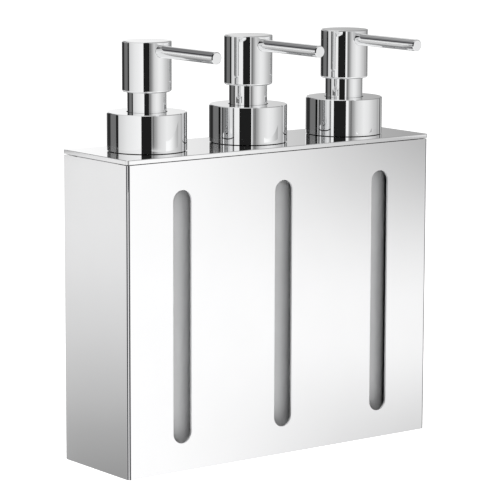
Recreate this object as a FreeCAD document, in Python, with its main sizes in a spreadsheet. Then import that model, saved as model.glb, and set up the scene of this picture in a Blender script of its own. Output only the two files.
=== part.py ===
import FreeCAD, Part
import os
import Sketcher

# Wall-mounted soap dispenser with three pumps in a row. Sizes are in millimetres.
# X runs to the right, Y towards the wall and Z up. The origin is the middle of the four
# wall-fixing holes, on the wall plane. Pump parts are drawn about their own axis with
# height 0 at the lid's top face, and placed at each station.

SIZES = {
    # Housing sheet metal
    "housing_half_width": 100.0,
    "housing_depth": 58.4,
    "housing_floor": 81.75,
    "shell_top": 81.25,
    "sheet": 1.2,
    "bend_outside": 1.5,
    "bend_inside": 0.3,
    "plate_play": 0.05,
    "plate_corner": 0.6,
    # Front slots
    "slot_low": 61.05,
    "slot_high": 60.55,
    "slot_radius": 5.8,
    # Wall fixing
    "fixing_rise": 42.0,
    "fixing_radius": 2.5,
    # Lid
    "lid_half_width": 100.3,
    "lid_front": 58.7,
    "lid_back": 0.3,
    "lid_plate": 2.2,
    "lid_top": 83.95,
    "lid_corner": 1.6,
    "lid_edge": 0.3,
    "lid_hole": 13.6,
    "guide_side": 98.3,
    "guide_sheet": 1.2,
    "guide_drop": 10.0,
    "guide_front": 48.0,
    "guide_back": 10.0,
    # Stations
    "pump_pitch": 66.0,
    "pump_depth": 27.0,
    # Bottle, heights below the lid's top face
    "bottle_radius": 23.0,
    "bottle_wall": 1.3,
    "bottle_foot": 163.3,
    "bottle_floor": 162.0,
    "shoulder_low": 14.0,
    "shoulder_high": 6.5,
    "shoulder_inner_low": 14.7,
    "shoulder_inner_high": 5.4,
    "neck_radius": 13.0,
    "neck_bore": 10.8,
    "neck_top": 14.5,
    "bead_radius": 16.0,
    "bead_low": 3.4,
    "bead_high": 2.3,
    "foot_rounding": 2.0,
    # Collar
    "collar_radius": 20.95,
    "collar_wall": 0.8,
    "collar_base": 0.3,
    "collar_top": 20.1,
    "collar_roof": 18.6,
    "collar_hole": 10.7,
    "collar_edge": 0.35,
    # Screw nut inside the collar
    "nut_rim": 20.1,
    "nut_body": 16.0,
    "nut_thread": 13.1,
    "nut_base": 0.8,
    "nut_rim_top": 2.3,
    "nut_rib_base": 17.0,
    "nut_top": 18.5,
    "nut_lip": 10.75,
    "nut_seat": 17.35,
    # Gasket
    "gasket_bore": 8.0,
    "gasket_radius": 12.6,
    "gasket_base": 14.8,
    "gasket_top": 15.75,
    # Pump cylinder
    "flange_radius": 12.8,
    "flange_base": 15.8,
    "flange_top": 17.3,
    "barrel_radius": 7.0,
    "barrel_bore": 5.8,
    "barrel_floor": 31.0,
    "barrel_end": 33.0,
    "socket_radius": 4.3,
    "socket_shoulder": 36.0,
    "socket_end": 47.0,
    "socket_bore": 3.05,
    "socket_roof": 37.6,
    "cage_bore": 2.9,
    "seat_top": 35.0,
    "seat_bottom": 36.5,
    "inlet_hole": 1.4,
    # Inlet ball
    "ball_radius": 2.4,
    "ball_depth": 34.05,
    # Dip tube
    "dip_radius": 3.0,
    "dip_bore": 2.2,
    "dip_top": 37.8,
    "dip_end": 158.0,
    # Bright sleeve under the head
    "sleeve_radius": 10.2,
    "sleeve_bore": 9.35,
    "sleeve_base": 17.4,
    "sleeve_top": 34.6,
    # Guide bush
    "bush_bore": 3.55,
    "bush_spigot": 5.75,
    "bush_spigot_end": 11.0,
    "bush_rim": 9.3,
    "bush_rim_top": 32.5,
    "bush_rim_bore": 8.3,
    "bush_pocket": 19.0,
    "bush_tower": 5.2,
    "bush_tower_top": 30.0,
    # Stem
    "stem_radius": 3.5,
    "stem_bore": 2.3,
    "stem_foot": 1.0,
    "stem_top": 50.0,
    # Piston seal
    "seal_bore": 3.52,
    "seal_body": 5.2,
    "seal_root": 4.7,
    "seal_lip": 5.75,
    "seal_low_tip": 1.4,
    "seal_low_root": 2.5,
    "seal_low_waist": 3.6,
    "seal_high_waist": 7.4,
    "seal_high_root": 8.5,
    "seal_high_tip": 9.6,
    # Return spring
    "spring_radius": 4.6,
    "spring_wire": 0.5,
    "spring_foot": 30.4,
    "spring_length": 30.8,
    "spring_pitch": 3.85,
    # Head
    "head_radius": 12.9,
    "head_wall": 0.8,
    "head_base": 30.6,
    "head_top": 57.0,
    "head_lip": 10.75,
    "head_base_edge": 1.0,
    "head_top_edge": 0.5,
    # Head core
    "core_radius": 12.05,
    "core_skirt_bore": 10.6,
    "core_base": 31.5,
    "core_top": 56.1,
    "core_roof": 46.0,
    "core_boss": 5.6,
    "core_boss_end": 41.0,
    "core_socket": 3.55,
    "core_socket_roof": 50.4,
    "core_channel": 2.3,
    "core_channel_top": 54.4,
    # Spout
    "spout_height": 52.15,
    "spout_radius": 3.15,
    "spout_bore": 2.2,
    "spout_hole": 3.2,
    "spout_start": 5.0,
    "spout_end": 61.2,
    "spout_bore_end": 59.4,
    "spout_tip_edge": 0.45,
    "spout_seat": 4.6,
    "outlet_radius": 1.4,
    "outlet_depth": 56.6,
}

STATIONS = {"left": "- pump_pitch", "middle": "0", "right": "pump_pitch"}

doc = FreeCAD.newDocument("soap_dispenser")
sizes = doc.addObject("Spreadsheet::Sheet", "Sizes")
for row, (alias, value) in enumerate(SIZES.items(), start=1):
    sizes.set(f"A{row}", alias)
    sizes.set(f"B{row}", str(value))
    sizes.setAlias(f"B{row}", alias)
doc.recompute()

parts = []


def value_of(terms):
    """The number that a sum such as "lid_top - lid_plate" comes to."""
    total = 0.0
    sign = 1.0
    for word in terms.split():
        if word == "-":
            sign = -1.0
        elif word != "+":
            total += sign * (SIZES[word] if word in SIZES else float(word))
            sign = 1.0
    return total


def expression_of(terms):
    """The same sum written as an expression on the sheet's cells."""
    return " ".join(f"Sizes.{word}" if word in SIZES else word for word in terms.split())


def bind(feature, setting, terms):
    feature.setExpression(setting, expression_of(terms))


def new_body(name, x="0", y="0", z="0"):
    body = doc.addObject("PartDesign::Body", name)
    body.Label = name
    for letter, terms in zip("xyz", (x, y, z)):
        bind(body, f"Placement.Base.{letter}", terms)
    parts.append(body)
    return body


def new_sketch(body, name, plane, height="0"):
    """A sketch on one of the body's origin planes, moved along its normal by height."""
    sketch = body.newObject("Sketcher::SketchObject", f"{body.Name}_{name}")
    support = [item for item in body.Origin.OriginFeatures if item.Role == plane][0]
    sketch.AttachmentSupport = [(support, "")]
    sketch.MapMode = "FlatFace"
    bind(sketch, "AttachmentOffset.Base.z", height)
    return sketch


def fix_point(sketch, item, point, across, up):
    """Hold one point of a sketch at two distances from the origin, read from the sheet."""
    for kind, terms, axis in (("DistanceX", across, -2), ("DistanceY", up, -1)):
        distance = value_of(terms)
        if distance == 0:
            sketch.addConstraint(Sketcher.Constraint("PointOnObject", item, point, axis))
        else:
            number = sketch.addConstraint(
                Sketcher.Constraint(kind, -1, 1, item, point, distance)
            )
            bind(sketch, f"Constraints[{number}]", terms)


def fix_radius(sketch, item, terms):
    number = sketch.addConstraint(Sketcher.Constraint("Radius", item, value_of(terms)))
    bind(sketch, f"Constraints[{number}]", terms)


def draw_outline(sketch, corners):
    """A closed outline of straight lines through corners given as pairs of sums."""
    points = [FreeCAD.Vector(value_of(across), value_of(up), 0) for across, up in corners]
    count = len(points)
    first = sketch.GeometryCount
    for index in range(count):
        line = Part.LineSegment(points[index], points[(index + 1) % count])
        sketch.addGeometry(line, False)
    for index in range(count):
        following = first + (index + 1) % count
        sketch.addConstraint(Sketcher.Constraint("Coincident", first + index, 2, following, 1))
    for index, (across, up) in enumerate(corners):
        fix_point(sketch, first + index, 1, across, up)


def draw_circle(sketch, across, up, radius):
    centre = FreeCAD.Vector(value_of(across), value_of(up), 0)
    circle = Part.Circle(centre, FreeCAD.Vector(0, 0, 1), value_of(radius))
    item = sketch.addGeometry(circle, False)
    fix_point(sketch, item, 3, across, up)
    fix_radius(sketch, item, radius)


def draw_slot(sketch, across, low, high, radius):
    """An upright slot with round ends, between two arc centres."""
    side = value_of(radius)
    middle = value_of(across)
    bottom = value_of(low)
    top = value_of(high)
    half_turn = 3.141592653589793
    upper = Part.Circle(FreeCAD.Vector(middle, top, 0), FreeCAD.Vector(0, 0, 1), side)
    lower = Part.Circle(FreeCAD.Vector(middle, bottom, 0), FreeCAD.Vector(0, 0, 1), side)
    top_arc = sketch.addGeometry(Part.ArcOfCircle(upper, 0, half_turn), False)
    bottom_arc = sketch.addGeometry(Part.ArcOfCircle(lower, half_turn, 2 * half_turn), False)
    left_line = sketch.addGeometry(
        Part.LineSegment(
            FreeCAD.Vector(middle - side, top, 0), FreeCAD.Vector(middle - side, bottom, 0)
        ),
        False,
    )
    right_line = sketch.addGeometry(
        Part.LineSegment(
            FreeCAD.Vector(middle + side, bottom, 0), FreeCAD.Vector(middle + side, top, 0)
        ),
        False,
    )
    joins = (
        (top_arc, 2, left_line, 1),
        (left_line, 2, bottom_arc, 1),
        (bottom_arc, 2, right_line, 1),
        (right_line, 2, top_arc, 1),
    )
    for join in joins:
        sketch.addConstraint(Sketcher.Constraint("Tangent", *join))
    fix_point(sketch, top_arc, 3, across, high)
    fix_point(sketch, bottom_arc, 3, across, low)
    fix_radius(sketch, top_arc, radius)
    sketch.addConstraint(Sketcher.Constraint("Equal", top_arc, bottom_arc))


def pad(body, sketch, length):
    feature = body.newObject("PartDesign::Pad", f"{body.Name}_pad")
    feature.Profile = sketch
    bind(feature, "Length", length)
    doc.recompute()
    return feature


def cut_through(body, sketch, backwards=False):
    """Cut a sketch out of everything on one side of its plane."""
    feature = body.newObject("PartDesign::Pocket", f"{body.Name}_cut")
    feature.Profile = sketch
    feature.Type = "ThroughAll"
    feature.Reversed = backwards
    doc.recompute()
    return feature


def revolve(body, corners, plane="XZ_Plane"):
    """Turn an outline of radius and height pairs about the upright axis of its sketch."""
    sketch = new_sketch(body, "outline", plane)
    draw_outline(sketch, corners)
    feature = body.newObject("PartDesign::Revolution", f"{body.Name}_turn")
    feature.Profile = sketch
    feature.ReferenceAxis = (sketch, ["V_Axis"])
    feature.Angle = 360
    doc.recompute()
    return feature


def edge_names(shape, wanted):
    return [f"Edge{number}" for number, edge in enumerate(shape.Edges, 1) if wanted(edge)]


def round_edges(body, wanted, size, kind="Fillet"):
    """Round or bevel the edges of the body's latest feature that pass a test."""
    base = body.Tip
    feature = body.newObject(f"PartDesign::{kind}", f"{body.Name}_{kind.lower()}")
    feature.Base = (base, edge_names(base.Shape, wanted))
    bind(feature, "Radius" if kind == "Fillet" else "Size", size)
    body.Tip = feature
    doc.recompute()
    return feature


def upright(edge):
    """True for a straight edge that runs along Z."""
    box = edge.BoundBox
    return box.XLength < 0.001 and box.YLength < 0.001 and box.ZLength > 0.5


def ring(radius, height):
    """A test for round edges of one radius at one height."""

    def wanted(edge):
        box = edge.BoundBox
        level = abs(box.ZMin - height) < 0.001 and abs(box.ZMax - height) < 0.001
        return level and abs(box.XLength - 2 * radius) < 0.01

    return wanted


def plate(name, plane, corners, thickness, height="0", holes=()):
    """A flat sheet cut to an outline of corners, with round holes."""
    body = new_body(name)
    sketch = new_sketch(body, "outline", plane, height)
    draw_outline(sketch, corners)
    for hole in holes:
        draw_circle(sketch, *hole)
    pad(body, sketch, thickness)
    return body


def rectangle(left, right, low, high):
    return [(left, low), (right, low), (right, high), (left, high)]


# Housing
shell = plate(
    "front_shell",
    "XY_Plane",
    [
        ("- housing_half_width", "0"),
        ("- housing_half_width", "- housing_depth"),
        ("housing_half_width", "- housing_depth"),
        ("housing_half_width", "0"),
        ("housing_half_width - sheet", "0"),
        ("housing_half_width - sheet", "- housing_depth + sheet"),
        ("- housing_half_width + sheet", "- housing_depth + sheet"),
        ("- housing_half_width + sheet", "0"),
    ],
    "housing_floor + shell_top",
    "- housing_floor",
)
front_line = -SIZES["housing_depth"]
inner_line = front_line + SIZES["sheet"]
round_edges(
    shell, lambda e: upright(e) and abs(e.BoundBox.YMin - front_line) < 0.01, "bend_outside"
)
round_edges(
    shell, lambda e: upright(e) and abs(e.BoundBox.YMin - inner_line) < 0.01, "bend_inside"
)
slots = new_sketch(shell, "slots", "XZ_Plane", "housing_depth - sheet - sheet")
for station in STATIONS.values():
    draw_slot(slots, station, "- slot_low", "slot_high", "slot_radius")
cut_through(shell, slots, backwards=True)

plate(
    "back_panel",
    "XZ_Plane",
    rectangle(
        "- housing_half_width + sheet + plate_play",
        "housing_half_width - sheet - plate_play",
        "- housing_floor",
        "shell_top",
    ),
    "sheet",
    holes=[
        (across, up, "fixing_radius")
        for across in ("- pump_pitch", "pump_pitch")
        for up in ("- fixing_rise", "fixing_rise")
    ],
)

bottom = plate(
    "bottom_plate",
    "XY_Plane",
    rectangle(
        "- housing_half_width + sheet + plate_play",
        "housing_half_width - sheet - plate_play",
        "- housing_depth + sheet + plate_play",
        "- sheet - plate_play",
    ),
    "sheet",
    "- housing_floor",
)
round_edges(bottom, upright, "plate_corner")

# Lid and its two guides
lid = plate(
    "lid",
    "XY_Plane",
    rectangle("- lid_half_width", "lid_half_width", "- lid_front", "- lid_back"),
    "lid_plate",
    "lid_top - lid_plate",
    holes=[(station, "- pump_depth", "lid_hole") for station in STATIONS.values()],
)
lid_front_line = -SIZES["lid_front"]
round_edges(
    lid, lambda e: upright(e) and abs(e.BoundBox.YMin - lid_front_line) < 0.01, "lid_corner"
)
round_edges(
    lid,
    lambda e: abs(e.BoundBox.ZMin - SIZES["lid_top"]) < 0.001 and e.BoundBox.YMin < -58.0,
    "lid_edge",
)

for name, near, far in (
    ("lid_guide_left", "- guide_side", "- guide_side + guide_sheet"),
    ("lid_guide_right", "guide_side - guide_sheet", "guide_side"),
):
    plate(
        name,
        "XY_Plane",
        rectangle(near, far, "- guide_front", "- guide_back"),
        "guide_drop",
        "lid_top - lid_plate - guide_drop",
    )

# Outlines of the turned pump parts: radius and height above the lid's top face
BOTTLE = [
    ("0", "- bottle_foot"),
    ("bottle_radius", "- bottle_foot"),
    ("bottle_radius", "- shoulder_low"),
    ("neck_radius", "- shoulder_high"),
    ("neck_radius", "- bead_low"),
    ("bead_radius", "- bead_low"),
    ("bead_radius", "- bead_high"),
    ("neck_radius", "- bead_high"),
    ("neck_radius", "neck_top"),
    ("neck_bore", "neck_top"),
    ("neck_bore", "- shoulder_inner_high"),
    ("bottle_radius - bottle_wall", "- shoulder_inner_low"),
    ("bottle_radius - bottle_wall", "- bottle_floor"),
    ("0", "- bottle_floor"),
]
COLLAR_SHELL = [
    ("collar_radius - collar_wall", "collar_base"),
    ("collar_radius", "collar_base"),
    ("collar_radius", "collar_top"),
    ("collar_hole", "collar_top"),
    ("collar_hole", "collar_roof"),
    ("collar_radius - collar_wall", "collar_roof"),
]
COLLAR_NUT = [
    ("nut_thread", "nut_base"),
    ("nut_rim", "nut_base"),
    ("nut_rim", "nut_rim_top"),
    ("nut_body", "nut_rim_top"),
    ("nut_body", "nut_rib_base"),
    ("nut_rim", "nut_rib_base"),
    ("nut_rim", "nut_top"),
    ("nut_lip", "nut_top"),
    ("nut_lip", "nut_seat"),
    ("nut_thread", "nut_seat"),
]
NECK_GASKET = [
    ("gasket_bore", "gasket_base"),
    ("gasket_radius", "gasket_base"),
    ("gasket_radius", "gasket_top"),
    ("gasket_bore", "gasket_top"),
]
PUMP_CYLINDER = [
    ("barrel_bore", "flange_top"),
    ("flange_radius", "flange_top"),
    ("flange_radius", "flange_base"),
    ("barrel_radius", "flange_base"),
    ("barrel_radius", "- barrel_end"),
    ("socket_radius", "- socket_shoulder"),
    ("socket_radius", "- socket_end"),
    ("socket_bore", "- socket_end"),
    ("socket_bore", "- socket_roof"),
    ("inlet_hole", "- socket_roof"),
    ("inlet_hole", "- seat_bottom"),
    ("cage_bore", "- seat_top"),
    ("cage_bore", "- barrel_floor"),
    ("barrel_bore", "- barrel_floor"),
]
DIP_TUBE = [
    ("dip_bore", "- dip_end"),
    ("dip_radius", "- dip_end"),
    ("dip_radius", "- dip_top"),
    ("dip_bore", "- dip_top"),
]
GUIDE_SLEEVE = [
    ("sleeve_bore", "sleeve_base"),
    ("sleeve_radius", "sleeve_base"),
    ("sleeve_radius", "sleeve_top"),
    ("sleeve_bore", "sleeve_top"),
]
GUIDE_BUSH = [
    ("bush_bore", "bush_spigot_end"),
    ("bush_spigot", "bush_spigot_end"),
    ("bush_spigot", "sleeve_base"),
    ("bush_rim", "sleeve_base"),
    ("bush_rim", "bush_rim_top"),
    ("bush_rim_bore", "bush_rim_top"),
    ("bush_rim_bore", "bush_pocket"),
    ("bush_tower", "bush_pocket"),
    ("bush_tower", "bush_tower_top"),
    ("bush_bore", "bush_tower_top"),
]
STEM = [
    ("stem_bore", "stem_foot"),
    ("stem_radius", "stem_foot"),
    ("stem_radius", "stem_top"),
    ("stem_bore", "stem_top"),
]
PISTON_SEAL = [
    ("seal_bore", "seal_low_root"),
    ("seal_root", "seal_low_root"),
    ("seal_lip", "seal_low_tip"),
    ("seal_lip", "seal_low_root"),
    ("seal_body", "seal_low_waist"),
    ("seal_body", "seal_high_waist"),
    ("seal_lip", "seal_high_root"),
    ("seal_lip", "seal_high_tip"),
    ("seal_root", "seal_high_root"),
    ("seal_bore", "seal_high_root"),
]
HEAD_SHELL = [
    ("head_lip", "head_base"),
    ("head_radius", "head_base"),
    ("head_radius", "head_top"),
    ("0", "head_top"),
    ("0", "head_top - head_wall"),
    ("head_radius - head_wall", "head_top - head_wall"),
    ("head_radius - head_wall", "head_base + head_wall"),
    ("head_lip", "head_base + head_wall"),
]
HEAD_INSERT = [
    ("core_skirt_bore", "core_base"),
    ("core_radius", "core_base"),
    ("core_radius", "core_top"),
    ("0", "core_top"),
    ("0", "core_channel_top"),
    ("core_channel", "core_channel_top"),
    ("core_channel", "core_socket_roof"),
    ("core_socket", "core_socket_roof"),
    ("core_socket", "core_boss_end"),
    ("core_boss", "core_boss_end"),
    ("core_boss", "core_roof"),
    ("core_skirt_bore", "core_roof"),
]
SPOUT_TUBE = [
    ("spout_bore", "- spout_start"),
    ("spout_radius", "- spout_start"),
    ("spout_radius", "- spout_end"),
    ("0", "- spout_end"),
    ("0", "- spout_bore_end"),
    ("spout_bore", "- spout_bore_end"),
]


def front_hole(body, radius, start="0"):
    """A level round hole from a starting depth out through the front of a head part."""
    sketch = new_sketch(body, f"hole_{radius}", "XZ_Plane", start)
    draw_circle(sketch, "0", "spout_height", radius)
    cut_through(body, sketch, backwards=True)


for side, across in STATIONS.items():

    def station_body(name, height="lid_top"):
        return new_body(f"{name}_{side}", across, "- pump_depth", height)

    bottle = station_body("bottle")
    revolve(bottle, BOTTLE)
    round_edges(bottle, ring(SIZES["bottle_radius"], -SIZES["bottle_foot"]), "foot_rounding")

    collar = station_body("collar_shell")
    revolve(collar, COLLAR_SHELL)
    round_edges(
        collar, ring(SIZES["collar_radius"], SIZES["collar_top"]), "collar_edge", "Chamfer"
    )

    for name, corners in (
        ("collar_nut", COLLAR_NUT),
        ("neck_gasket", NECK_GASKET),
        ("pump_cylinder", PUMP_CYLINDER),
        ("dip_tube", DIP_TUBE),
        ("guide_sleeve", GUIDE_SLEEVE),
        ("guide_bush", GUIDE_BUSH),
        ("stem", STEM),
        ("piston_seal", PISTON_SEAL),
    ):
        revolve(station_body(name), corners)

    spring = station_body("return_spring")
    wire = new_sketch(spring, "wire", "XZ_Plane")
    draw_circle(wire, "spring_radius", "- spring_foot", "spring_wire")
    coil = spring.newObject("PartDesign::AdditiveHelix", f"{spring.Name}_coil")
    coil.Profile = wire
    coil.ReferenceAxis = (wire, ["V_Axis"])
    coil.Mode = "pitch-height-angle"
    bind(coil, "Pitch", "spring_pitch")
    bind(coil, "Height", "spring_length")

    ball = doc.addObject("Part::Sphere", f"inlet_ball_{side}")
    ball.Label = ball.Name
    bind(ball, "Radius", "ball_radius")
    bind(ball, "Placement.Base.x", across)
    bind(ball, "Placement.Base.y", "- pump_depth")
    bind(ball, "Placement.Base.z", "lid_top - ball_depth")
    parts.append(ball)

    head = station_body("head_shell")
    revolve(head, HEAD_SHELL)
    front_hole(head, "spout_hole")
    round_edges(head, ring(SIZES["head_radius"], SIZES["head_base"]), "head_base_edge")
    round_edges(head, ring(SIZES["head_radius"], SIZES["head_top"]), "head_top_edge")

    core = station_body("head_insert")
    revolve(core, HEAD_INSERT)
    front_hole(core, "core_channel")
    front_hole(core, "spout_hole", "spout_seat")

    spout = station_body("spout_tube", "lid_top + spout_height")
    revolve(spout, SPOUT_TUBE, "XY_Plane")
    outlet = new_sketch(spout, "outlet", "XY_Plane")
    draw_circle(outlet, "0", "- outlet_depth", "outlet_radius")
    cut_through(spout, outlet)
    tip = -SIZES["spout_end"]
    round_edges(
        spout,
        lambda e: abs(e.BoundBox.YMin - tip) < 0.001 and abs(e.BoundBox.YMax - tip) < 0.001,
        "spout_tip_edge",
        "Chamfer",
    )

doc.recompute()

for item in doc.Objects:
    if "Invalid" in item.State or "Error" in item.State:
        raise RuntimeError(f"{item.Name} did not compute: {item.State}")

os.makedirs("parts", exist_ok=True)
for part in parts:
    shape = part.Shape
    if shape.isNull() or not shape.isValid() or len(shape.Solids) != 1:
        raise RuntimeError(f"{part.Name} is not one sound solid")
    shape.exportStep(f"parts/{part.Label}.step")
    box = shape.BoundBox
    print(f"{part.Label:24s} {shape.Volume:12.2f}  z {box.ZMin:8.2f} {box.ZMax:8.2f}")
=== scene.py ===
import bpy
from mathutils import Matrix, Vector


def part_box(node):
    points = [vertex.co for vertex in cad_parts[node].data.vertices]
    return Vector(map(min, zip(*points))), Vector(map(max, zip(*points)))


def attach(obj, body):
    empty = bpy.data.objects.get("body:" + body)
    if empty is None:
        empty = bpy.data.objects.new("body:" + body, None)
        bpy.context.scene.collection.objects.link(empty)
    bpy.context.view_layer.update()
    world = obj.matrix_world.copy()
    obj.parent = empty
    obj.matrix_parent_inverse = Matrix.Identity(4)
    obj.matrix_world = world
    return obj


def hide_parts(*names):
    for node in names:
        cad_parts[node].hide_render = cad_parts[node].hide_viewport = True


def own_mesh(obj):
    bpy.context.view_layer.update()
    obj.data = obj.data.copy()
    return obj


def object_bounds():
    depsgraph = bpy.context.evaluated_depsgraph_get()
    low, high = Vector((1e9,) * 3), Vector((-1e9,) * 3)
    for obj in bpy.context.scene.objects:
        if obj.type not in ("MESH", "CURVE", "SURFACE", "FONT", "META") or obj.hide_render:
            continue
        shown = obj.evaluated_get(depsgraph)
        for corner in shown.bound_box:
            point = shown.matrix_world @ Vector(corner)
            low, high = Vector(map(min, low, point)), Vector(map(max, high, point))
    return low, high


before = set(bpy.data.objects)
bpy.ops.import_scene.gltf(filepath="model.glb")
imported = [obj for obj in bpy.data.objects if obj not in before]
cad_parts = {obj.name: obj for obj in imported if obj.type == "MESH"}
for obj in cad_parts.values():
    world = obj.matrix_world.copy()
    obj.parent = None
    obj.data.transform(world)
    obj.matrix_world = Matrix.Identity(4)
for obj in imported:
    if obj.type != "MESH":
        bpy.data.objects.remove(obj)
cad_box = [list(corner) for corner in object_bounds()]

import math

import bpy
import numpy as np
from mathutils import Matrix

# Looks of a polished metal wall dispenser with three pumps. All lengths are in metres and
# in the same frame as the CAD: X to the right, Y into the wall, Z up.

SIDES = ("left", "middle", "right")


class Value:
    """One socket's value. Arithmetic on it adds Math nodes to its graph."""

    def __init__(self, graph, socket):
        self.graph = graph
        self.socket = socket

    def math(self, operation, first, second=0.0):
        return self.graph.add("ShaderNodeMath", {"operation": operation}, {0: first, 1: second})

    def __add__(self, other):
        return self.math("ADD", self, other)

    def __radd__(self, other):
        return self.math("ADD", other, self)

    def __sub__(self, other):
        return self.math("SUBTRACT", self, other)

    def __rsub__(self, other):
        return self.math("SUBTRACT", other, self)

    def __mul__(self, other):
        return self.math("MULTIPLY", self, other)

    def __rmul__(self, other):
        return self.math("MULTIPLY", other, self)

    def __truediv__(self, other):
        return self.math("DIVIDE", self, other)

    def __gt__(self, other):
        return self.math("GREATER_THAN", self, other)

    def __lt__(self, other):
        return self.math("LESS_THAN", self, other)


class Graph:
    """A node tree that is built one node at a time."""

    def __init__(self, tree):
        self.tree = tree
        tree.nodes.clear()

    def add(self, kind, settings=None, inputs=None, output=0):
        """Add a node: its settings first, then its inputs, as numbers, tuples or links."""
        node = self.tree.nodes.new(kind)
        for name, setting in (settings or {}).items():
            if name == "stops":
                self.set_stops(node.color_ramp, setting)
            else:
                setattr(node, name, setting)
        for name, given in (inputs or {}).items():
            if isinstance(given, Value):
                self.tree.links.new(given.socket, node.inputs[name])
            else:
                node.inputs[name].default_value = given
        return Value(self, node.outputs[output] if node.outputs else None)

    def set_stops(self, ramp, stops):
        """Give a colour ramp its stops, each a place from 0 to 1 and a grey or a colour."""
        while len(ramp.elements) < len(stops):
            ramp.elements.new(0.5)
        for element, (place, shade) in zip(ramp.elements, stops):
            element.position = place
            colour = shade if isinstance(shade, tuple) else (shade, shade, shade)
            element.color = (*colour, 1.0)


def grey(shade):
    """The linear light of a display grey from 0 to 255."""
    share = shade / 255
    return share / 12.92 if share <= 0.04045 else ((share + 0.055) / 1.055) ** 2.4


def new_material(name):
    """A material with an empty graph, and its surface coordinates in metres."""
    material = bpy.data.materials.new(name)
    material.use_nodes = True
    graph = Graph(material.node_tree)
    place = graph.add("ShaderNodeTexCoord", output="Object")
    return material, graph, place


def finish_material(graph, settings):
    """Close a graph with a Principled surface."""
    surface = graph.add("ShaderNodeBsdfPrincipled", {}, settings)
    graph.add("ShaderNodeOutputMaterial", {}, {"Surface": surface})


def noise(graph, place, scale, detail=2.0, stretch=(1.0, 1.0, 1.0), turn=(0.0, 0.0, 0.0)):
    """Soft noise from 0 to 1. Scale is in cells per metre, stretch multiplies it per axis."""
    moved = graph.add(
        "ShaderNodeMapping", {}, {"Vector": place, "Scale": stretch, "Rotation": turn}
    )
    return graph.add("ShaderNodeTexNoise", {}, {"Vector": moved, "Scale": scale, "Detail": detail})


def blend(graph, amount, first, second):
    """Mix two colour values, or colours of four parts, by an amount from 0 to 1."""
    return graph.add(
        "ShaderNodeMix", {"data_type": "RGBA"}, {0: amount, 6: first, 7: second}, output=2
    )


def between(graph, amount, low, high):
    """Blend two plain colours of three parts by an amount from 0 to 1."""
    return blend(graph, amount, (*low, 1.0), (*high, 1.0))


def bump(graph, height, distance, strength=1.0):
    """A normal tilted by a height pattern, whose full height is distance metres."""
    return graph.add(
        "ShaderNodeBump", {}, {"Height": height, "Distance": distance, "Strength": strength}
    )


def split(graph, vector):
    """The three parts of a vector as values."""
    node = graph.add("ShaderNodeSeparateXYZ", {}, {"Vector": vector}).socket.node
    return [Value(graph, node.outputs[letter]) for letter in "XYZ"]


BEND_RADIUS = 0.0015
SHEET_HALF_WIDTH = 0.1000
SHEET_FRONT = -0.0584
SHEET_TOP = 0.0812
LINE_START, LINE_END = 0.1, 0.6
# Grey of the painted dark reflection lines on the front corners' bend.
PAINTED_BEND_REFLECTION_GREY = (0.10, 0.10, 0.11)


def painted_bend_reflections(graph, place):
    """Two painted dark reflection lines down each front corner, on the sheet's bend.

    Sideward and outward are 0 where a flat side ends and 1 at the sheet's outermost point.
    A line runs where both are past LINE_START and not both are past LINE_END.
    """
    across, away, up = split(graph, place)
    sideward = (across.math("ABSOLUTE", across) - (SHEET_HALF_WIDTH - BEND_RADIUS)) / BEND_RADIUS
    outward = (away - (SHEET_FRONT + BEND_RADIUS)) / -BEND_RADIUS
    on_bend = (sideward > LINE_START) * (outward > LINE_START) * (up < SHEET_TOP)
    return on_bend * (1.0 - (sideward > LINE_END) * (outward > LINE_END))


def polished_metal(name, tint, smooth, dull, wave, with_painted_bend_lines=False):
    """Mirror metal: faint hazing, hairlines from wiping in two directions, a slight wave.

    Smooth and dull are the least and the most roughness, and wave is a height in metres.
    """
    material, graph, place = new_material(name)
    haze = noise(graph, place, scale=35.0, detail=3.0)
    grain = noise(graph, place, scale=900.0, detail=2.0)
    wiped = noise(
        graph, place, scale=60.0, detail=4.0, stretch=(40.0, 40.0, 0.6), turn=(0.12, 0.2, 0.3)
    )
    crossed = noise(
        graph, place, scale=60.0, detail=4.0, stretch=(0.6, 30.0, 42.0), turn=(0.3, -0.5, 0.15)
    )
    hairlines = (wiped > 0.68) * 0.5 + (crossed > 0.69) * 0.5
    roughness = smooth + (dull - smooth) * (haze * 0.7 + grain * 0.3) + hairlines * 0.03
    colour = between(graph, haze, tint, tuple(0.97 * part for part in tint))
    # Painted dark reflection lines down the front corners, standing in for what the bend mirrors.
    if with_painted_bend_lines:
        colour = blend(graph, painted_bend_reflections(graph, place), colour, (*PAINTED_BEND_REFLECTION_GREY, 1.0))
    slow_wave = noise(graph, place, scale=14.0, detail=1.0)
    finish_material(
        graph,
        {
            "Base Color": colour,
            "Metallic": 1.0,
            "Roughness": roughness,
            "Normal": bump(graph, slow_wave + hairlines * 0.002, wave),
        },
    )
    return material


def brushed_metal(name, tint, grain_along):
    """Mill-finish sheet: fine parallel grain that changes both gloss and height."""
    material, graph, place = new_material(name)
    fine = noise(graph, place, scale=40.0, detail=6.0, stretch=grain_along)
    cloud = noise(graph, place, scale=25.0, detail=3.0)
    roughness = 0.24 + fine * 0.22 + cloud * 0.06
    colour = between(graph, fine * 0.7 + cloud * 0.3, tint, tuple(0.8 * part for part in tint))
    finish_material(
        graph,
        {
            "Base Color": colour,
            "Metallic": 1.0,
            "Roughness": roughness,
            "Normal": bump(graph, fine, distance=0.00002, strength=0.6),
        },
    )
    return material


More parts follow.
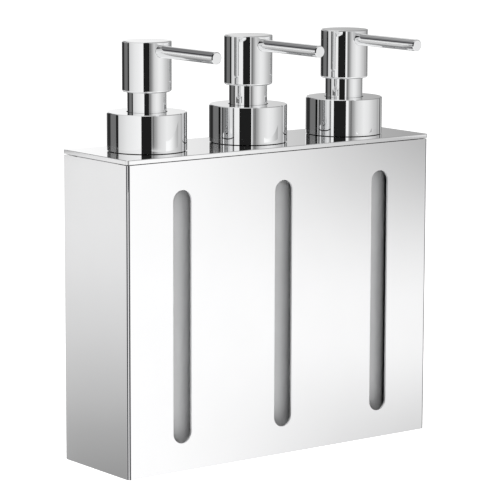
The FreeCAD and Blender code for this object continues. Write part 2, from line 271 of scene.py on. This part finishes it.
def moulded_plastic(name, tint, gloss, through=0.0):
    """Moulded plastic: faint flow clouding, fine texture from the mould.

    Through is the share of light that passes into it.
    """
    material, graph, place = new_material(name)
    cloud = noise(graph, place, scale=60.0, detail=3.0)
    grain = noise(graph, place, scale=2500.0, detail=2.0)
    colour = between(graph, cloud, tint, tuple(0.92 * part for part in tint))
    finish_material(
        graph,
        {
            "Base Color": colour,
            "Roughness": gloss + cloud * 0.08 + grain * 0.06,
            "Transmission Weight": through,
            "IOR": 1.5,
            "Normal": bump(graph, grain, distance=0.00001, strength=0.5),
        },
    )
    return material


def soft_rubber(name):
    """Black seal rubber: dull, with a dusty bloom."""
    material, graph, place = new_material(name)
    bloom = noise(graph, place, scale=180.0, detail=4.0)
    grain = noise(graph, place, scale=3000.0, detail=2.0)
    finish_material(
        graph,
        {
            "Base Color": between(graph, bloom, (0.012, 0.012, 0.013), (0.035, 0.035, 0.037)),
            "Roughness": 0.55 + bloom * 0.25,
            "Normal": bump(graph, grain, distance=0.00002, strength=0.5),
        },
    )
    return material


finishes = {
    "polished_sheet": polished_metal(
        "mirror_sheet", (0.93, 0.93, 0.935), smooth=0.02, dull=0.05, wave=0.00002, with_painted_bend_lines=True
    ),
    "bright_plate": polished_metal(
        "chrome_plate", (0.93, 0.935, 0.94), smooth=0.01, dull=0.03, wave=0.000004
    ),
    "plain_sheet": brushed_metal("mill_sheet", (0.74, 0.74, 0.75), (2.0, 2.0, 60.0)),
    "bottle_plastic": moulded_plastic(
        "milky_plastic", (0.72, 0.725, 0.73), gloss=0.30, through=0.10
    ),
    "natural_plastic": moulded_plastic(
        "natural_plastic", (0.50, 0.52, 0.51), gloss=0.35, through=0.2
    ),
    "white_plastic": moulded_plastic("white_plastic", (0.58, 0.58, 0.57), gloss=0.38),
    "seal_rubber": soft_rubber("seal_rubber_black"),
    "spring_steel": brushed_metal("drawn_wire", (0.55, 0.55, 0.56), (8.0, 8.0, 8.0)),
    "ball_steel": polished_metal(
        "ground_ball", (0.75, 0.75, 0.76), smooth=0.03, dull=0.08, wave=0.000002
    ),
}
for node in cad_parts.values():
    for material_slot in node.material_slots:
        material_slot.material = finishes[material_slot.material.name.split(".")[0]]


SHARP_EDGE = math.radians(40)


def skin(name, grid, poles, body, node, slot):
    """Join a grid of points into one closed surface that stands for a CAD node.

    Columns run round and meet. With poles, the first and the last row are one point each.
    Without, the last row joins the first.
    """
    rows, columns = grid.shape[:2]
    if poles:
        points = np.concatenate([grid[:1, 0], grid[1:-1].reshape(-1, 3), grid[-1:, 0]])
        index = 1 + np.arange((rows - 2) * columns).reshape(rows - 2, columns)
        lower, upper = index[:-1], index[1:]
    else:
        points = grid.reshape(-1, 3)
        lower = np.arange(rows * columns).reshape(rows, columns)
        upper = np.roll(lower, -1, axis=0)
    onward = np.roll(lower, -1, axis=1), np.roll(upper, -1, axis=1)
    faces = np.stack([lower, onward[0], onward[1], upper], axis=2).reshape(-1, 4).tolist()
    if poles:
        first, last = index[0], index[-1]
        ends = np.zeros_like(first), np.full_like(last, len(points) - 1)
        faces += np.stack([ends[0], np.roll(first, -1), first], axis=1).tolist()
        faces += np.stack([ends[1], last, np.roll(last, -1)], axis=1).tolist()
    mesh = bpy.data.meshes.new(name)
    mesh.from_pydata(points, [], faces)
    mesh.shade_smooth()
    mesh.set_sharp_from_angle(angle=SHARP_EDGE)
    mesh.materials.append(finishes[slot])
    made = bpy.data.objects.new(name, mesh)
    bpy.context.collection.objects.link(made)
    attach(made, body)
    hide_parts(node)
    return made


def softened(corners, rounding, steps=5):
    """A profile with its corners eased.

    Each corner is cut off at the rounding distance along both its edges, and a parabola with
    the corner as its handle joins the cuts.
    """
    corners = np.array(corners)
    middle = corners[1:-1]
    cuts = []
    for neighbours in (corners[:-2], corners[2:]):
        edge = neighbours - middle
        length = np.linalg.norm(edge, axis=1, keepdims=True)
        cuts.append(middle + edge / length * np.minimum(rounding, 0.45 * length))
    share = np.linspace(0.0, 1.0, steps)[None, :, None]
    start, handle, end = cuts[0][:, None], middle[:, None], cuts[1][:, None]
    bends = (1 - share) ** 2 * start + 2 * share * (1 - share) * handle + share**2 * end
    return np.concatenate([corners[:1], bends.reshape(-1, 2), corners[-1:]])


def around(count):
    """Evenly spaced angles, once round a circle."""
    return np.linspace(0.0, 2 * math.pi, count, endpoint=False)


def turned(profile, axis, angle):
    """Radius and height rows carried round an upright axis: x = r cos a, y = r sin a."""
    radius, height = profile[..., 0], profile[..., 1]
    if radius.ndim == 1:
        radius, height = radius[:, None], height[:, None]
    across = axis[0] + radius * np.cos(angle)
    away = axis[1] + radius * np.sin(angle)
    return np.stack([across, away, height + 0 * angle], axis=2)


def node_axis(node):
    """The middle of a node's box in X and Y, and its lowest and highest point."""
    low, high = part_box(node)
    return ((low[0] + high[0]) / 2, (low[1] + high[1]) / 2), low[2], high[2]


# Bottles: blown walls, eased shoulder, dished foot, and a screw thread cut into the neck
BOTTLE_WALL = 0.0013
BOTTLE = 0.0230
FOOT_RING = 0.0190
DISH = 0.0150
NECK = 0.0130
NECK_RING = 0.0160
BORE = 0.0108
THREAD_PITCH = 0.0032
THREAD_DEPTH = 0.0007
THREAD_START, THREAD_RISE = 0.0012, 0.0012
THREAD_STOP, THREAD_FALL = 0.0128, 0.0016
BOTTLE_COLUMNS = 128
NECK_STEPS = 84
for side in SIDES:
    axis, foot, mouth = node_axis(f"bottle_{side}")
    below_mouth = [
        (0.0, foot + 0.0016),
        (DISH, foot + 0.0014),
        (FOOT_RING, foot),
        (BOTTLE, foot),
        (BOTTLE, mouth - 0.0285),
        (NECK, mouth - 0.0210),
        (NECK, mouth - 0.0179),
        (NECK_RING, mouth - 0.0179),
        (NECK_RING, mouth - 0.0168),
        (NECK, mouth - 0.0168),
        (NECK, mouth - 0.0142),
    ]
    inside = [
        (NECK, mouth - 0.0006),
        (NECK, mouth),
        (BORE, mouth),
        (BORE, mouth - 0.0199),
        (BOTTLE - BOTTLE_WALL, mouth - 0.0292),
        (BOTTLE - BOTTLE_WALL, foot + BOTTLE_WALL),
        (FOOT_RING, foot + BOTTLE_WALL),
        (DISH, foot + 0.0027),
        (0.0, foot + 0.0029),
    ]
    rounding = np.array([0.004, 0.001, 0.002, 0.004, 0.0006, 0.0004, 0.0003, 0.0003, 0.0004])
    neck_rows = np.linspace(mouth - 0.0140, mouth - 0.0008, NECK_STEPS)
    profile = np.concatenate(
        [
            softened(below_mouth, rounding[:, None]),
            np.stack([np.full_like(neck_rows, NECK), neck_rows], axis=1),
            softened(inside, rounding=0.0005),
        ]
    )
    angle = around(BOTTLE_COLUMNS)
    grid = turned(profile, axis, angle)
    # The thread is a groove whose depth repeats once per pitch along a helix, and fades in
    # and out at the two ends of the neck. Drop is the way down from the mouth, outside only.
    outside = profile[:, :1] > (BORE + NECK) / 2
    drop = (mouth - profile[:, 1:2]) * outside
    turn = drop / THREAD_PITCH + angle / (2 * math.pi)
    groove = np.clip(0.5 + 1.4 * np.cos(2 * math.pi * turn), 0.0, 1.0)
    fade_in = np.clip((drop - THREAD_START) / THREAD_RISE, 0, 1)
    fade = fade_in * np.clip((THREAD_STOP - drop) / THREAD_FALL, 0, 1)
    shrink = 1 - THREAD_DEPTH * groove * fade / NECK
    centre = np.array([axis[0], axis[1], 0.0])
    grid = centre + (grid - centre) * np.stack([shrink, shrink, np.ones_like(shrink)], axis=2)
    grid[:, :, 2] = profile[:, 1:2]
    skin(f"threaded_bottle_{side}", grid, True, "lid_unit", f"bottle_{side}", "bottle_plastic")

# Dip tubes: extruded tube, cut off at a slant so that the foot never seals on the floor
TUBE, TUBE_BORE = 0.0030, 0.0022
SLANT = 0.0044
for side in SIDES:
    axis, foot, top = node_axis(f"dip_tube_{side}")
    angle = around(36)
    rows = [(TUBE, foot), (TUBE, top), (TUBE_BORE, top), (TUBE_BORE, foot)]
    outline = np.array(rows)[:, None, :] + np.zeros((1, len(angle), 1))
    outline[(0, 3), :, 1] += SLANT / 2 * (1 + np.cos(angle))
    grid = turned(outline, axis, angle)
    skin(
        f"slant_cut_tube_{side}",
        grid,
        False,
        f"pump_{side}",
        f"dip_tube_{side}",
        "natural_plastic",
    )

# Return springs: a helix of drawn wire whose pitch closes up towards both ends
COIL_TURNS = 10
COIL_RADIUS = 0.0046
WIRE = 0.0005
END_CLOSING = 0.65
for side in SIDES:
    axis, foot, top = node_axis(f"return_spring_{side}")
    along = np.linspace(0.0, 1.0, 421)
    rise = along - END_CLOSING * np.sin(2 * math.pi * along) / (2 * math.pi)
    turn = 2 * math.pi * COIL_TURNS * along
    outward = np.stack([np.cos(turn), np.sin(turn), 0 * turn], axis=1)
    centre = np.array([axis[0], axis[1], 0.0]) + COIL_RADIUS * outward
    centre[:, 2] = foot + WIRE + (top - foot - 2 * WIRE) * rise
    ahead = np.gradient(centre, axis=0)
    ahead /= np.linalg.norm(ahead, axis=1, keepdims=True)
    upward = np.cross(ahead, outward)
    upward /= np.linalg.norm(upward, axis=1, keepdims=True)
    round_wire = around(10)[None, :, None]
    ring = np.cos(round_wire) * outward[:, None] + np.sin(round_wire) * upward[:, None]
    ends = [centre[place, None, None] + 0 * ring[:1] for place in (0, -1)]
    grid = np.concatenate([ends[0], centre[:, None] + WIRE * ring, ends[1]])
    spring = skin(
        f"coil_spring_{side}",
        grid,
        True,
        f"pump_{side}",
        f"return_spring_{side}",
        "spring_steel",
    )
    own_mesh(spring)


# Studio: a pale floor, cards that only the metal sees, and the surroundings it mirrors
def studio_sheet(name, corners, material):
    """A flat four-cornered sheet of the studio, from its corners."""
    mesh = bpy.data.meshes.new(name)
    mesh.from_pydata(corners, [], [(0, 1, 2, 3)])
    mesh.materials.append(material)
    made = bpy.data.objects.new(name, mesh)
    bpy.context.collection.objects.link(made)
    return made


def upright_card(name, near, near_edge, far, far_edge, material):
    """An upright card between two floor points, each edge from its low to its high end."""
    made = studio_sheet(
        name,
        [
            (*near, near_edge[0]),
            (*far, far_edge[0]),
            (*far, far_edge[1]),
            (*near, near_edge[1]),
        ],
        material,
    )
    made.visible_camera = False
    made.visible_diffuse = False
    made.visible_shadow = False
    made.visible_transmission = False


def ramp_up(graph, value, start, end, manner="LINEAR"):
    """From 0 where a value is at its start to 1 where it is at its end."""
    return graph.add(
        "ShaderNodeMapRange",
        {"interpolation_type": manner},
        {"Value": value, "From Min": start, "From Max": end},
    )


def glow(graph, shade):
    """Close a graph with plain light of one linear shade."""
    lamp = graph.add("ShaderNodeEmission", {}, {"Color": shade, "Strength": 1.0})
    graph.add("ShaderNodeOutputMaterial", {}, {"Surface": lamp})


floor_material, graph, place = new_material("pale_floor")
cloud = noise(graph, place, scale=3.0, detail=3.0)
finish_material(
    graph,
    {
        "Base Color": between(graph, cloud, (0.93, 0.93, 0.93), (0.90, 0.90, 0.90)),
        "Roughness": 0.6 + cloud * 0.1,
        "Specular IOR Level": 0.0,
        "Emission Color": (1.0, 1.0, 1.0, 1.0),
        "Emission Strength": 0.75,
    },
)
FLOOR_DROP = 0.06
FLOOR_REACH = 30.0
floor_level = cad_box[0][2] - FLOOR_DROP
floor_corners = ((-1, -1), (1, -1), (1, 1), (-1, 1))
floor = studio_sheet(
    "floor",
    [(FLOOR_REACH * right, FLOOR_REACH * back, floor_level) for right, back in floor_corners],
    floor_material,
)
floor.visible_glossy = False

# A black card left of the view puts the dark stripe down each round part.
flag_material, graph, place = new_material("black_card")
fibre = noise(graph, place, scale=400.0, detail=2.0)
glow(graph, between(graph, fibre, (0.010, 0.010, 0.010), (0.019, 0.019, 0.019)))
upright_card(
    "flag",
    near=(-0.186, -0.128),
    near_edge=(0.052, 0.9),
    far=(-0.310, -0.619),
    far_edge=(0.0, 0.9),
    material=flag_material,
)

# A white card ahead and to the right fills the front, and greys to its upper and lower right.
front_material, graph, place = new_material("front_card")
across, _, up = split(graph, place)
rightward = ramp_up(graph, across, 0.10, 0.30, "SMOOTHSTEP")
upward = ramp_up(graph, up, -0.060, 0.075, "SMOOTHSTEP")
downward = ramp_up(graph, up, -0.075, -0.160, "SMOOTHSTEP")
front_shade = 1.09 - rightward * (0.10 + upward * 0.55 + downward * 0.36) - upward * 0.04
glow(graph, front_shade)
upright_card(
    "front_fill",
    near=(0.060, -0.385),
    near_edge=(-0.450, 0.047),
    far=(0.300, -0.205),
    far_edge=(-0.450, 0.056),
    material=front_material,
)

# What the metal mirrors near the horizon, by compass direction: degrees from straight out
# of the wall, positive towards +X, with the display grey seen there.
SURROUNDINGS = (
    (-180, 45),
    (-166, 45),
    (-160, 115),
    (-136, 115),
    (-133, 12),
    (-126, 12),
    (-123, 214),
    (-93, 238),
    (-54, 252),
    (-26, 250),
    (-22, 120),
    (-20, 156),
    (-17, 95),
    (-14, 150),
    (-8, 175),
    (-2, 209),
    (6, 226),
    (24, 244),
    (40, 237),
    (64, 207),
    (77, 195),
    (85, 172),
    (97, 194),
    (99, 50),
    (104, 50),
    (107, 195),
    (130, 120),
    (168, 115),
    (172, 45),
)
# Further down, where the flat sides look.
UNDERNEATH = (
    (-180, 200),
    (-152, 190),
    (-148, 215),
    (-131, 215),
    (-96, 240),
    (-60, 250),
    (-8, 245),
    (29, 235),
    (60, 225),
    (120, 205),
    (180, 200),
)
# The left side greys from top to bottom: its shades by how steeply it looks down.
SIDE_SHADES = (
    (0.0, 240),
    (0.25, 238),
    (0.37, 233),
    (0.55, 218),
    (0.73, 195),
    (0.82, 178),
    (0.95, 158),
    (1.0, 150),
)
# Above the horizon: its shade by compass direction, and then how dark it is by steepness,
# the sine of the climb.
BEHIND = ((-180, 262), (132, 140), (140, 172), (143.5, 232), (147, 262), (180, 262))
CLIMB = (
    (0.0, 0.0),
    (0.18, 0.0),
    (0.23, 0.78),
    (0.32, 0.88),
    (0.36, 1.0),
    (0.47, 1.0),
    (0.50, 0.82),
    (0.54, 0.82),
    (0.58, 0.88),
    (0.70, 0.50),
    (1.0, 0.10),
)
SIDE_DEPTH = -0.25
CEILING_DARK = (0.05, 0.05, 0.055, 1.0)
# How much of that darkening there is, by compass direction: all of it straight behind.
BEHIND_DARKENING = ((-180, 255), (-143, 255), (-136, 120), (150, 120), (158, 255), (180, 255))
# Steeply down, where the undersides look.
FLOORWARD = (
    (-180, 245),
    (-170, 245),
    (-163, 235),
    (-158, 140),
    (-152, 160),
    (-140, 235),
    (-60, 244),
    (60, 240),
    (120, 225),
    (154, 185),
    (157, 45),
    (174, 45),
    (178, 245),
    (180, 245),
)


def compass(degrees):
    """A compass direction as a share of the circle, from 0 at -180 degrees."""
    return (degrees + 180) / 360


def compass_ramp(graph, bearing, stops):
    """The shade of a ring of surroundings at a bearing."""
    return graph.add(
        "ShaderNodeValToRGB",
        {"stops": [(compass(degrees), grey(shade)) for degrees, shade in stops]},
        {"Fac": bearing},
    )


world = bpy.data.worlds.new("studio")
world.use_nodes = True
bpy.context.scene.world = world
sky = Graph(world.node_tree)
toward = sky.add("ShaderNodeTexCoord", output="Generated")
east, north, climb = split(sky, toward)
bearing = east.math("ARCTAN2", east, north * -1.0) / (2 * math.pi) + 0.5
low_ring = compass_ramp(sky, bearing, SURROUNDINGS)
high_ring = compass_ramp(sky, bearing, BEHIND)
darkening = sky.add("ShaderNodeValToRGB", {"stops": CLIMB}, {"Fac": climb})
behind_share = compass_ramp(sky, bearing, BEHIND_DARKENING)
ceiling = blend(sky, darkening * behind_share, high_ring, CEILING_DARK)
above = ramp_up(sky, climb, -0.078, -0.072)
# Just above the horizon the lid hands the low ring back to the feet of the collars.
across_lid = (bearing > compass(125)) * (bearing < compass(160))
handed_back = (climb > 0.100) * (climb < 0.130) * (1.0 - across_lid)
below = ramp_up(sky, climb, -0.1230, -0.1242)
depth = ramp_up(sky, climb, -0.12, SIDE_DEPTH)
side_fall = sky.add(
    "ShaderNodeValToRGB",
    {"stops": [(place, grey(shade)) for place, shade in SIDE_SHADES]},
    {"Fac": depth},
)
beside = (bearing > compass(-147)) * (bearing < compass(-137)) * (climb > SIDE_DEPTH)
steep = ramp_up(sky, climb, -0.245, -0.26)
under = blend(
    sky, steep, compass_ramp(sky, bearing, UNDERNEATH), compass_ramp(sky, bearing, FLOORWARD)
)
lower_ring = blend(sky, beside, under, side_fall)
mirrored = blend(
    sky, below, blend(sky, above * (1.0 - handed_back), low_ring, ceiling), lower_ring
)
# Plain surfaces get one even light, and the camera sees a white backdrop.
ROOM_LIGHT = (0.40, 0.40, 0.40, 1.0)
BACKDROP = (1.0, 1.0, 1.0, 1.0)
diffuse = sky.add("ShaderNodeLightPath", output="Is Diffuse Ray")
seen = sky.add("ShaderNodeLightPath", output="Is Camera Ray")
lit = blend(sky, diffuse, mirrored, ROOM_LIGHT)
shown = blend(sky, seen, lit, BACKDROP)
background = sky.add("ShaderNodeBackground", {}, {"Color": shown, "Strength": 1.0})
sky.add("ShaderNodeOutputWorld", {}, {"Surface": background})


def softbox(name, place, aim, size, watts):
    """A square area light at a place, turned to face another, and not mirrored."""
    light = bpy.data.lights.new(name, "AREA")
    light.size = size
    light.energy = watts
    made = bpy.data.objects.new(name, light)
    bpy.context.collection.objects.link(made)
    made.location = place
    away = np.array(place) - np.array(aim)
    level = math.hypot(away[0], away[1])
    made.rotation_euler = (math.atan2(level, away[2]), 0, math.atan2(away[0], -away[1]))
    made.visible_glossy = False


HOUSING_MIDDLE = (0.0, -0.05, 0.0)
softbox("softbox_top", (0.0, -0.4, 1.8), (0.0, -0.1, 0.0), size=2.0, watts=10.0)
softbox("softbox_front", (-1.25, -1.2, 0.5), HOUSING_MIDDLE, size=0.8, watts=20.0)
softbox("softbox_right", (1.3, -1.1, 0.6), HOUSING_MIDDLE, size=0.8, watts=14.0)

CAMERA_PLACE = (-0.8513, -1.1490, 0.2541)
CAMERA_TURN, CAMERA_DIP, CAMERA_ROLL = -37.24, 9.25, 0.18
camera_data = bpy.data.cameras.new("camera")
camera_data.sensor_width = 36.0
camera_data.lens = 190.46
camera_data.clip_end = 200.0
camera = bpy.data.objects.new("camera", camera_data)
camera.matrix_world = (
    Matrix.Translation(CAMERA_PLACE)
    @ Matrix.Rotation(math.radians(CAMERA_TURN), 4, "Z")
    @ Matrix.Rotation(math.radians(90 - CAMERA_DIP), 4, "X")
    @ Matrix.Rotation(math.radians(CAMERA_ROLL), 4, "Z")
)
bpy.context.collection.objects.link(camera)
bpy.context.scene.camera = camera
bpy.context.scene.view_settings.view_transform = "Standard"
